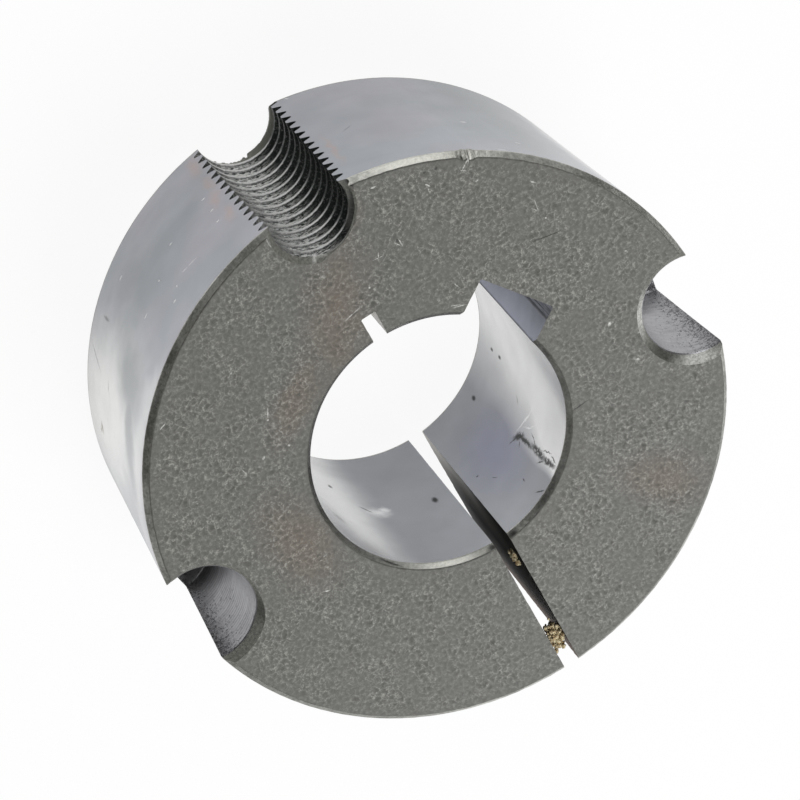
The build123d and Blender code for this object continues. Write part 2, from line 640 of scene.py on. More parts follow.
@dataclass
class TaperBush:
    """The whole bush: a turned blank with every hole and slot cut out of it."""

    side: TaperedSide
    smooth_degrees: float = 28.0

    def cutters(self) -> list:
        """Everything that is cut out of the blank, in the order in which a shop would do it.

        Returns:
            The cutters.
        """
        through = self.side.large_radius + OVERSHOOT
        forms = (
            SawnOrBroachedSlot(
                "keyway", Zone.KEYWAY, width=8.0, reach=15.8, angle_degrees=35.0, corner_radius=0.2),
            JackingThread(90.0),
            JackingMouths(90.0),
            FixingHole(-5.2),
            FixingHole(184.8, shallow=Bulge(45.0, 86.0, 34.0, 0.5)),
            SawnOrBroachedSlot("relief_slot", Zone.SAW_CUT, width=1.5, reach=15.4, angle_degrees=90.0),
            SawnOrBroachedSlot(
                "slit", Zone.SAW_CUT, width=1.6, reach=through, angle_degrees=-90.0, offset=0.3),
        )
        return [form.build(self.side.length) for form in forms]

    def build(self, finishes: list) -> Object:
        """Cuts the blank and dresses it.

        Args:
            finishes: the material of each zone, in the order of Zone.

        Returns:
            The finished piece.
        """
        blank = TurnedBlank(self.side).build()
        cutters = self.cutters()
        for obj in (blank, *cutters):
            for material in finishes:
                obj.data.materials.append(material)
        for cutter in cutters:
            cut = blank.modifiers.new(cutter.name, "BOOLEAN")
            cut.operation = "DIFFERENCE"
            cut.solver = "MANIFOLD"
            cut.material_mode = "INDEX"
            cut.object = cutter
        evaluated = blank.evaluated_get(bpy.context.evaluated_depsgraph_get())
        mesh = bpy.data.meshes.new_from_object(evaluated)
        mesh.name = "iron_bush"
        mesh.polygons.foreach_set("use_smooth", np.ones(len(mesh.polygons), bool))
        mesh.set_sharp_from_angle(angle=math.radians(self.smooth_degrees))
        for obj in (blank, *cutters):
            bpy.data.objects.remove(obj)
        piece = bpy.data.objects.new("iron_bush", mesh)
        bpy.context.scene.collection.objects.link(piece)
        weighted = piece.modifiers.new("flat_faces_stay_flat", "WEIGHTED_NORMAL")
        weighted.keep_sharp = True
        return piece


# ---------------------------------------------------------------------------------------------------------
# Finishes
# ---------------------------------------------------------------------------------------------------------

Value = Node | NodeSocket               # what an input is linked from; a node gives its first output
MIX_A, MIX_B, MIX_COLOUR = 6, 7, 2      # the Mix node's colour sockets; its factor is socket 0
LOW, HIGH = 0.3, 0.7                    # nearly all of a noise's values lie between these


def linear(hex_colour: str) -> tuple:
    """The linear colour of an sRGB hex value such as "#7a7a74", with an alpha of 1."""
    parts = [int(hex_colour[i:i + 2], 16) / 255 for i in (1, 3, 5)]
    return (*(p / 12.92 if p <= 0.04045 else ((p + 0.055) / 1.055) ** 2.4 for p in parts), 1.0)


def add(tree: NodeTree, kind: str, inputs: dict | None = None, **settings: object) -> Node:
    """Adds a node, sets it up and links it.

    Args:
        tree: the material's or world's node tree.
        kind: the node's type, without its ShaderNode prefix.
        inputs: for each input's name or number its value, or what it is linked from.
        settings: properties of the node.

    Returns:
        The node.
    """
    node = tree.nodes.new("ShaderNode" + kind)
    for key, value in settings.items():
        setattr(node, key, value)
    for key, value in (inputs or {}).items():
        if isinstance(value, Value):
            source = value.outputs[0] if isinstance(value, Node) else value
            tree.links.new(source, node.inputs[key])
        else:
            node.inputs[key].default_value = value
    return node


def span(limits: tuple, first: int = 1) -> dict:
    """A MapRange node's inputs: two limits, as the values it maps from (inputs 1 and 2) or to (3 and 4).

    Args:
        limits: the two values.
        first: number of the input that takes the first one.

    Returns:
        The limits, by the number of their inputs.
    """
    return {first: limits[0], first + 1: limits[1]}


@dataclass(frozen=True)
class Mark:
    """A scratch, speck or stain: an ellipse on a flat or unrolled surface, in millimetres."""

    along: float
    across: float
    length: float
    width: float
    turn_degrees: float = 0.0


class Front(Enum):
    """The direction that an unrolled wall is measured from, as the sign of Y."""

    JACKING_SIDE = 1.0
    SLIT_SIDE = -1.0


def millimetres(tree: NodeTree) -> Node:
    """The object's own coordinates, in millimetres."""
    place = add(tree, "TexCoord").outputs["Object"]
    return add(tree, "VectorMath", {0: place, "Scale": 1 / METRES}, operation="SCALE")


def unrolled(tree: NodeTree, point: Value, radius: float, front: Front) -> Node:
    """A round wall laid flat: radius times the angle from the front, growing to +X, and the height.

    Args:
        tree: the material's node tree.
        point: coordinates in millimetres.
        radius: the wall's radius.
        front: where the angle starts.

    Returns:
        The flat coordinates, in millimetres.
    """
    x, y, z = add(tree, "SeparateXYZ", {0: point}).outputs
    ahead = add(tree, "Math", {0: y, 1: front.value}, operation="MULTIPLY")
    angle = add(tree, "Math", {0: x, 1: ahead}, operation="ARCTAN2")
    arc = add(tree, "Math", {0: angle, 1: radius}, operation="MULTIPLY")
    return add(tree, "CombineXYZ", {0: arc, 1: z})


def streaks(tree: NodeTree, point: Value, size: tuple, detail: float, roughness: float = 0.5) -> Node:
    """Noise whose spots are stretched, like the lines that a tool leaves.

    Args:
        tree: the material's node tree.
        point: coordinates in millimetres.
        size: size of a spot along each axis, in millimetres.
        detail: how many finer noises are added.
        roughness: how strong each of them is, as a share of the one before.

    Returns:
        The noise.
    """
    shrunk = add(tree, "Mapping", {"Vector": point, "Scale": size}, vector_type="TEXTURE")
    return add(tree, "TexNoise", {"Vector": shrunk, "Scale": 1.0, "Detail": detail, "Roughness": roughness})


def marked(tree: NodeTree, plane: Value, marks: tuple, rag: float = 0.06, edge: float = 0.5) -> Node:
    """A mask that is 1 inside some ellipses with ragged edges and 0 outside them.

    In an ellipse's own coordinates, divided by its half length and half width, it is the unit circle.

    Args:
        tree: the material's node tree.
        plane: flat coordinates in millimetres, with a third one of zero.
        marks: the ellipses.
        rag: how far noise moves their edges, in millimetres.
        edge: where the mask starts to fade, as a share of the way out.

    Returns:
        The mask.
    """
    waves = 0.35 / rag      # in each millimetre: a wave is about three times as long as it is high
    reach = 3 * rag         # the noise keeps within a third of 0.5
    noise = add(tree, "TexNoise", {"Vector": plane, "Scale": waves, "Detail": 3.0})
    shift = add(tree, "VectorMath", {0: noise.outputs["Color"], 1: (0.5, 0.5, 0.5)}, operation="SUBTRACT")
    ragged = add(tree, "VectorMath", {0: shift, 1: (reach, reach, 0), 2: plane}, operation="MULTIPLY_ADD")
    nearest = None
    for mark in marks:
        own = add(tree, "Mapping", {
            "Vector": ragged,
            "Location": (mark.along, mark.across, 0),
            "Rotation": (0, 0, math.radians(mark.turn_degrees)),
            "Scale": (mark.length / 2, mark.width / 2, 1),
        }, vector_type="TEXTURE")
        away = add(tree, "VectorMath", {0: own}, operation="LENGTH").outputs["Value"]
        if nearest is None:
            nearest = away
        else:
            nearest = add(tree, "Math", {0: nearest, 1: away}, operation="MINIMUM")
    return add(tree, "MapRange", {0: nearest, 1: 2 - edge, 2: edge}, interpolation_type="SMOOTHSTEP")


def specks(tree: NodeTree, point: Value, spacing: float, size: float, share: float) -> Node:
    """A mask of small round specks, one in some of the cells of a random pattern.

    Args:
        tree: the material's node tree.
        point: coordinates in millimetres.
        spacing: mean size of a cell, in millimetres.
        size: diameter of a speck, in millimetres.
        share: share of the cells that hold a speck.

    Returns:
        The mask.
    """
    cells = add(tree, "TexVoronoi", {"Vector": point, "Scale": 1 / spacing})
    near = add(tree, "MapRange", {0: cells, 1: size / spacing, 2: 0.3 * size / spacing})
    lot = add(tree, "SeparateColor", {0: cells.outputs["Color"]})
    chosen = add(tree, "Math", {0: lot, 1: share}, operation="LESS_THAN")
    return add(tree, "Math", {0: near, 1: chosen}, operation="MULTIPLY")


def varied(tree: NodeTree, colour: Value, noise: Value, limits: tuple, gain: tuple) -> Node:
    """A colour made darker where a noise is low, and lighter where it is high.

    Args:
        tree: the material's node tree.
        colour: the colour.
        noise: the noise.
        limits: the noise's values at the two ends of the gain.
        gain: what the colour is multiplied by at each end.

    Returns:
        The colour.
    """
    factor = add(tree, "MapRange", {0: noise, **span(limits), **span(gain, 3)})
    return add(tree, "VectorMath", {0: colour, "Scale": factor}, operation="SCALE")


def painted(tree: NodeTree, base: Value | str, layers: tuple) -> Value:
    """Lays colours over a base colour, one after another.

    Args:
        tree: the material's node tree.
        base: the base colour, linked or as an sRGB hex value.
        layers: for each colour its mask, the share of the base that it covers there, and its hex value.

    Returns:
        The colour.
    """
    colour = linear(base) if isinstance(base, str) else base
    for mask, share, tone in layers:
        cover = add(tree, "Math", {0: mask, 1: share}, operation="MULTIPLY")
        mixed = add(tree, "Mix", {0: cover, MIX_A: colour, MIX_B: linear(tone)}, data_type="RGBA")
        colour = mixed.outputs[MIX_COLOUR]
    return colour


@dataclass(frozen=True)
class Finish:
    """The start of every finish: what it is called, and how its material is made."""

    name: str

    def build(self) -> Material:
        """The material, with the shader that dress() makes.

        Returns:
            The material.
        """
        material = bpy.data.materials.new(self.name)
        material.use_nodes = True
        tree = material.node_tree
        tree.nodes.clear()
        shader = self.dress(tree, millimetres(tree))
        add(tree, "OutputMaterial", {"Surface": shader})
        return material

    def dress(self, tree: NodeTree, point: Value) -> Node:
        """Adds the finish's nodes, on coordinates in millimetres, and returns its shader."""
        raise NotImplementedError(self.name)


@dataclass(frozen=True)
class PhosphatedIron(Finish):
    """Phosphated cast iron: a dull olive grey with dark grains in a paler web, stained and scratched."""

    cell: float = 0.66                  # a grain of the phosphate, with its share of the web
    bend: float = 0.769                 # waves in the web's lines, and how far they are bent
    bend_reach: float = 1.5
    patch: float = 2.22                 # where the phosphate is thick or thin
    grit: float = 0.385                 # crystals, really 0.02, drawn so coarse that they show
    gap: float = 0.25                   # breaks in a scratch
    chips: tuple = (1.7, 0.07, 0.16)    # bare specks: their spacing, size and share
    bore_fade: tuple = (13.1, 14.8)     # radii between which the phosphate thins out towards the bore
    rim_fade: tuple = (28.0, 26.9)      # and towards the rim
    lightened_way: tuple = (0.6, -0.8, 0)
    lightened: tuple = (-12.0, 24.0)      # where the lighter tone starts along that way, and where it is full
    relief: float = 0.012
    roughness: float = 0.66
    plain: str = "#63635e"
    side_tone: str = "#6d6d69"               # lighter on one side of the face
    web: str = "#a6a69f"
    grain: str = "#474741"
    rust: str = "#7d644c"
    bare: str = "#dcdcd8"
    deep: str = "#2a2a27"
    stains: tuple = (
        Mark(-2.2, 17.6, 10, 4.6, 60), Mark(-3.8, 14.6, 4, 2.4, 40), Mark(-9.4, 12.2, 7, 2.6, 37),
        Mark(-16.0, -1.0, 8, 4.6, 95), Mark(16.4, -16.4, 7, 4, -45), Mark(2.2, 24.6, 4, 2, -129),
    )
    scratches: tuple = (
        Mark(6.2, 26.3, 0.5, 0.12, -13), Mark(10.6, 23.5, 0.5, 0.13, -57), Mark(10.5, 23.1, 0.12, 0.12),
        Mark(14.7, 21.2, 0.4, 0.1, -2), Mark(19.2, 17.9, 0.7, 0.12, -51), Mark(18.4, 15.8, 1.1, 0.07, -98),
        Mark(18.1, 15.4, 0.7, 0.07, -60), Mark(5.9, 20.0, 0.8, 0.08, -89), Mark(5.6, 20.0, 0.7, 0.07, -60),
        Mark(3.4, 19.9, 0.9, 0.06, -7), Mark(3.5, 20.0, 0.7, 0.06, 60), Mark(8.4, 13.2, 0.8, 0.07, -71),
        Mark(14.4, 23.2, 1.4, 0.08, -146), Mark(14.1, 22.8, 0.5, 0.09, -39),
        Mark(14.9, 23.4, 0.9, 0.07, -120), Mark(-21.2, 17.1, 0.7, 0.09, 19),
        Mark(-12.4, 12.4, 1.0, 0.07, -118), Mark(-17.0, 8.6, 0.8, 0.07, -78),
        Mark(-1.2, 16.4, 1.8, 0.07, 12), Mark(7.8, 11.1, 1.3, 0.08, -20), Mark(7.5, 11.4, 0.9, 0.06, -24),
        Mark(-16.1, -6.9, 0.5, 0.1, -21), Mark(19.7, -3.8, 0.5, 0.18, -39), Mark(19.0, 1.0, 0.4, 0.3, 50),
        Mark(23.6, 6.6, 0.3, 0.15, -66), Mark(18.6, 14.1, 0.2, 0.15), Mark(1.4, 17.8, 0.16, 0.16),
        Mark(-13.4, 18.0, 0.2, 0.16), Mark(-12.7, 11.8, 0.2, 0.16), Mark(-12.2, 8.4, 0.2, 0.18),
        Mark(-14.8, 8.7, 0.35, 0.2, 30),
    )
    gouges: tuple = (
        Mark(17.9, 12.4, 2.6, 0.09, -12), Mark(17.2, 12.6, 1.4, 0.12, -12), Mark(12.9, -4.7, 1.7, 0.1, 3),
        Mark(12.0, 24.5, 0.34, 0.22, 20), Mark(10.9, 24.8, 0.25, 0.2), Mark(5.7, 20.4, 0.35, 0.2, 70),
        Mark(4.5, 27.8, 1.0, 0.5, -88), Mark(3.0, 24.4, 1.3, 0.5, -140),
    )

    def dress(self, tree: NodeTree, point: Value) -> Node:
        """Web and grains from one cell pattern, faded near the turned edges, under stains and scratches.

        Args:
            tree: the material's node tree.
            point: coordinates in millimetres.

        Returns:
            The shader.
        """
        flat = add(tree, "VectorMath", {0: point, 1: (1, 1, 0)}, operation="MULTIPLY")
        bend = add(tree, "TexNoise", {
            "Vector": point, "Scale": 1 / self.bend, "Detail": 3.0, "Roughness": 0.7})
        warped = add(tree, "VectorMath", {
            0: bend.outputs["Color"], 1: (self.bend_reach,) * 3, 2: point}, operation="MULTIPLY_ADD")
        cells = add(tree, "TexVoronoi", {"Vector": warped, "Scale": 1 / self.cell},
                    feature="DISTANCE_TO_EDGE")
        patch = add(tree, "TexNoise", {"Vector": point, "Scale": 1 / self.patch, "Detail": 3.0})
        strength = add(tree, "MapRange", {0: patch, 1: 0.36, 2: 0.6, 3: 0.3})
        radius = add(tree, "VectorMath", {0: flat}, operation="LENGTH").outputs["Value"]
        inner = add(tree, "MapRange", {0: radius, **span(self.bore_fade), 3: 0.35})
        outer = add(tree, "MapRange", {0: radius, **span(self.rim_fade), 3: 0.25})
        faded = add(tree, "Math", {0: inner, 1: outer}, operation="MINIMUM")
        strength = add(tree, "Math", {0: strength, 1: faded}, operation="MULTIPLY")
        grit = add(tree, "TexNoise", {
            "Vector": point, "Scale": 1 / self.grit, "Detail": 5.0, "Roughness": 0.62})
        uneven = add(tree, "MapRange", {0: grit, 1: 0.38, 2: 0.62})
        web = add(tree, "MapRange", {0: cells, 1: 0.12, 2: 0.0}, interpolation_type="SMOOTHSTEP")
        web = add(tree, "Math", {0: web, 1: strength}, operation="MULTIPLY")
        web = add(tree, "Math", {0: web, 1: uneven}, operation="MULTIPLY")
        grain = add(tree, "MapRange", {0: cells, 1: 0.1, 2: 0.46}, interpolation_type="SMOOTHSTEP")
        grain = add(tree, "Math", {0: grain, 1: strength}, operation="MULTIPLY")

        # lighter towards one side of the face
        side = add(tree, "VectorMath", {0: flat, 1: self.lightened_way}, operation="DOT_PRODUCT")
        lightened = add(tree, "MapRange", {0: side.outputs["Value"], **span(self.lightened)})
        colour = painted(tree, self.plain, (
            (lightened, 1.0, self.side_tone),
            (marked(tree, flat, self.stains, rag=0.9, edge=0.0), 0.3, self.rust),
            (grain, 0.85, self.grain),
            (web, 0.75, self.web),
        ))
        colour = varied(tree, colour, grit, (LOW, HIGH), (0.74, 1.26))
        gap = add(tree, "TexNoise", {"Vector": point, "Scale": 1 / self.gap, "Detail": 2.0})
        thin = add(tree, "MapRange", {0: gap, 1: 0.35, 2: 0.6, 3: 0.15})
        bright = add(tree, "Math", {
            0: marked(tree, flat, self.scratches, rag=0.05), 1: specks(tree, point, *self.chips)},
            operation="MAXIMUM")
        bright = add(tree, "Math", {0: bright, 1: thin}, operation="MULTIPLY")
        deep = marked(tree, flat, self.gouges)
        colour = painted(tree, colour, ((bright, 1.0, self.bare), (deep, 0.8, self.deep)))

        relief = add(tree, "Math", {0: web, 1: 0.4, 2: grit}, operation="MULTIPLY_ADD")
        relief = add(tree, "Math", {0: relief, 1: deep}, operation="SUBTRACT")
        bump = add(tree, "Bump", {"Strength": 1.0, "Distance": self.relief * METRES, "Height": relief})
        return add(tree, "BsdfPrincipled", {
            "Base Color": colour, "Roughness": self.roughness, "Normal": bump})


@dataclass(frozen=True)
class GroundTaper(Finish):
    """Fine-ground iron under a film of oil: satin, blue and lilac clouds, a few straw tints, painted light
    and shade.
    """

    radius: float = 28.0
    cloud: float = 7.7                  # clouds of blue and lilac in the oil
    film: float = 4.55                  # where the oil is thick or thin
    line: tuple = (8.33, 8.33, 0.167)   # the wheel's lines, really 0.02 high, drawn so coarse that they show
    chips: tuple = (2.6, 0.06, 0.12)    # bare specks: their spacing, size and share
    relief: float = 0.002
    roughness: float = 0.24             # and how much rougher it is where it was struck
    struck_roughness: float = 0.3
    blue: str = "#abafb5"
    lilac: str = "#b2b2b9"
    # painted shade: the colour of the darker reflection fields
    shade: str = "#999ea2"
    straw: str = "#c9a99c"
    brown: str = "#7a6a3a"
    # painted shade: the darker tongue between the painted bright fields
    grey: str = "#a6aaac"
    # bare metal of the scratches and specks, and the colour of the painted highlight fields
    bare: str = "#fafaf8"
    deep: str = "#4a4a48"
    tints: tuple = (
        Mark(-5.5, 3.6, 3.4, 1.3, 96), Mark(-5.4, 8.6, 3.0, 0.9, 84), Mark(-5.8, 12.2, 3.4, 1.2, 100),
        Mark(-5.6, 16.6, 2.6, 1.0, 94), Mark(5.6, 17.0, 6.0, 0.5, 92), Mark(-18.6, 24.72, 9.0, 0.16, 0),
    )
    # painted reflection: broad bright fields where the side mirrors the lit floor
    painted_bright: tuple = (Mark(-31.0, 8.0, 26.0, 14.0, 70), Mark(35.0, 12.0, 30.0, 8.0, 90))
    # painted shade: a broad darker field
    shade_field: tuple = (Mark(24.0, 13.0, 40.0, 8.0, 90),)
    # painted highlight: fainter bright fields near the rim
    lightened: tuple = (Mark(-23.4, 24.0, 6.5, 4.0, 20), Mark(-30.0, 22.8, 16.0, 3.6, 8))
    # painted shade: the darker tongue between the painted bright fields
    shade_tongue: tuple = (Mark(-24.2, 16.5, 9.0, 5.4, 112), Mark(-28.5, 18.9, 10.0, 3.0, 160))
    rust: tuple = (Mark(-33.3, 6.7, 0.9, 0.7), Mark(-33.9, 5.9, 0.5, 0.5))
    scratches: tuple = (
        Mark(-11.8, 11.5, 0.3, 0.2), Mark(-18.3, 4.9, 0.5, 0.2), Mark(-14.9, 14.0, 0.34, 0.16, 70),
        Mark(-13.7, 18.4, 0.22, 0.2), Mark(-14.7, 19.9, 0.4, 0.2), Mark(-18.2, 15.2, 0.5, 0.14),
        Mark(-6.7, 10.4, 0.4, 0.18), Mark(-6.9, 16.3, 0.3, 0.22), Mark(-6.7, 13.6, 0.34, 0.2),
        Mark(-11.1, 18.1, 0.9, 0.1, 14), Mark(-12.1, 17.8, 0.7, 0.09, 20), Mark(18.9, 15.5, 0.6, 0.24),
        Mark(22.3, 20.8, 0.6, 0.16, 10), Mark(19.5, 24.3, 0.8, 0.14), Mark(5.9, 1.2, 0.5, 0.16, 60),
    )
    gouges: tuple = (
        Mark(-22.6, 5.0, 1.6, 0.3, 83), Mark(-27.0, 4.1, 3.6, 0.16, 106), Mark(-27.7, 9.8, 1.3, 0.14, 144),
        Mark(8.2, 13.4, 1.2, 0.1, -41),
    )
    # painted shade: darker bands
    shade_bands: tuple = (
        Mark(-28.0, 17.8, 11.0, 3.4, 8), Mark(-12.8, 10.0, 8.0, 3.6, 176), Mark(-21.4, 10.5, 9.0, 4.0, 70),
        Mark(-17.0, 10.0, 12.0, 6.0, 80),
    )

    def dress(self, tree: NodeTree, point: Value) -> Node:
        """Soft clouds some millimetres wide in two colours, painted light and shade, and the wheel's fine
        lines round the side.

        Args:
            tree: the material's node tree.
            point: coordinates in millimetres.

        Returns:
            The shader.
        """
        wall = unrolled(tree, point, self.radius, Front.JACKING_SIDE)
        cloud = add(tree, "TexNoise", {"Vector": point, "Scale": 1 / self.cloud, "Detail": 2.0})
        hue = add(tree, "MapRange", {0: cloud, 1: 0.38, 2: 0.62}, interpolation_type="SMOOTHSTEP")
        film = add(tree, "TexNoise", {"Vector": wall, "Scale": 1 / self.film, "Detail": 2.0})
        lines = streaks(tree, point, self.line, detail=3.0)
        tone = add(tree, "MapRange", {0: film, **span((LOW, HIGH)), **span((0.94, 1.05), 3)})
        fine = add(tree, "MapRange", {0: lines, **span((LOW, HIGH)), **span((0.985, 1.015), 3)})
        gain = add(tree, "Math", {0: tone, 1: fine}, operation="MULTIPLY")
        # painted light and shade: bright and dark reflection fields laid over the clouds
        colour = painted(tree, self.blue, (
            (hue, 1.0, self.lilac),
            (marked(tree, wall, self.shade_bands, rag=0.9, edge=0.0), 0.6, self.shade),
            (marked(tree, wall, self.shade_field, rag=0.9, edge=0.0), 0.9, self.shade),
            (marked(tree, wall, self.tints, rag=0.6, edge=0.0), 0.38, self.straw),
            (marked(tree, wall, self.painted_bright, rag=0.7, edge=0.35), 0.95, self.bare),
            (marked(tree, wall, self.lightened, rag=0.5, edge=0.2), 0.45, self.bare),
            (marked(tree, wall, self.shade_tongue, rag=0.6, edge=0.3), 0.9, self.grey),
            (marked(tree, wall, self.rust, rag=0.2, edge=0.1), 0.9, self.brown),
        ))
        colour = add(tree, "VectorMath", {0: colour, "Scale": gain}, operation="SCALE")
        bright = add(tree, "Math", {
            0: marked(tree, wall, self.scratches), 1: specks(tree, point, *self.chips)},
            operation="MAXIMUM")
        colour = painted(tree, colour, (
            (bright, 0.8, self.bare),
            (marked(tree, wall, self.gouges, rag=0.12, edge=0.2), 0.6, self.deep),
        ))
        roughness = add(tree, "Math", {
            0: bright, 1: self.struck_roughness, 2: self.roughness}, operation="MULTIPLY_ADD")
        bump = add(tree, "Bump", {"Strength": 0.3, "Distance": self.relief * METRES, "Height": lines})
        return add(tree, "BsdfPrincipled", {
            "Base Color": colour, "Metallic": 1.0, "Roughness": roughness, "Normal": bump})


@dataclass(frozen=True)
class TurnedChamfer(Finish):
    """A narrow turned edge: torn, coarse iron, bright where struck and where a highlight is painted, painted
    shade in stretches, black where dirt is caught.
    """

    dark: str = "#85857f"
    light: str = "#c6c6c0"
    tear: float = 0.25                  # spots torn by the tool, really 0.1, drawn so coarse that they show
    patch: float = 3.33                 # stretches that came out brighter
    relief: float = 0.04
    roughness: float = 0.42
    radius: float = 28.3
    front: Front = Front.JACKING_SIDE
    # struck metal of the nick, and broad bright stretches that are a painted highlight
    struck_and_glare: tuple = (
        Mark(10.2, 25.1, 9.0, 1.2), Mark(15.9, 25.1, 0.9, 0.1, 70), Mark(16.3, 25.1, 1.0, 0.1, 95),
        Mark(16.7, 25.1, 1.0, 0.1, 80), Mark(17.3, 25.1, 0.9, 0.1, 100),
    )
    dirty: tuple = (Mark(-13.0, 25.38, 16.0, 0.1), Mark(-27.0, 25.38, 12.0, 0.1), Mark(15.4, 25.2, 0.5, 0.3))
    # painted shade: stretches darkened with the grime colour
    dull: tuple = (Mark(-23.5, 25.1, 16.0, 2.0), Mark(-57.0, 25.1, 10.0, 2.0))
    bare: str = "#dcdcd4"
    # grime of the dirty marks, and the painted shade of the dull stretches
    grime: str = "#1c1c1a"

    def dress(self, tree: NodeTree, point: Value) -> Node:
        """Coarse noise in colour and relief, under struck places with painted highlights, painted shade and
        dirt on the unrolled edge.

        Args:
            tree: the material's node tree.
            point: coordinates in millimetres.

        Returns:
            The shader.
        """
        wall = unrolled(tree, point, self.radius, self.front)
        torn = add(tree, "TexNoise", {
            "Vector": point, "Scale": 1 / self.tear, "Detail": 4.0, "Roughness": 0.65})
        patch = add(tree, "TexNoise", {"Vector": point, "Scale": 1 / self.patch, "Detail": 2.0})
        both = add(tree, "Math", {0: patch, 1: 1.6, 2: torn}, operation="MULTIPLY_ADD")
        mask = add(tree, "MapRange", {0: both, 1: 1.0, 2: 1.6})
        colour = painted(tree, self.dark, (
            (mask, 1.0, self.light),
            (marked(tree, wall, self.struck_and_glare, rag=0.12, edge=0.3), 0.9, self.bare),
            (marked(tree, wall, self.dull, rag=0.5, edge=0.0), 0.35, self.grime),
            (marked(tree, wall, self.dirty, rag=0.05, edge=0.2), 0.8, self.grime),
        ))
        colour = varied(tree, colour, torn, (LOW, HIGH), (0.88, 1.12))
        bump = add(tree, "Bump", {"Strength": 1.0, "Distance": self.relief * METRES, "Height": torn})
        return add(tree, "BsdfPrincipled", {
            "Base Color": colour, "Metallic": 1.0, "Roughness": self.roughness, "Normal": bump})


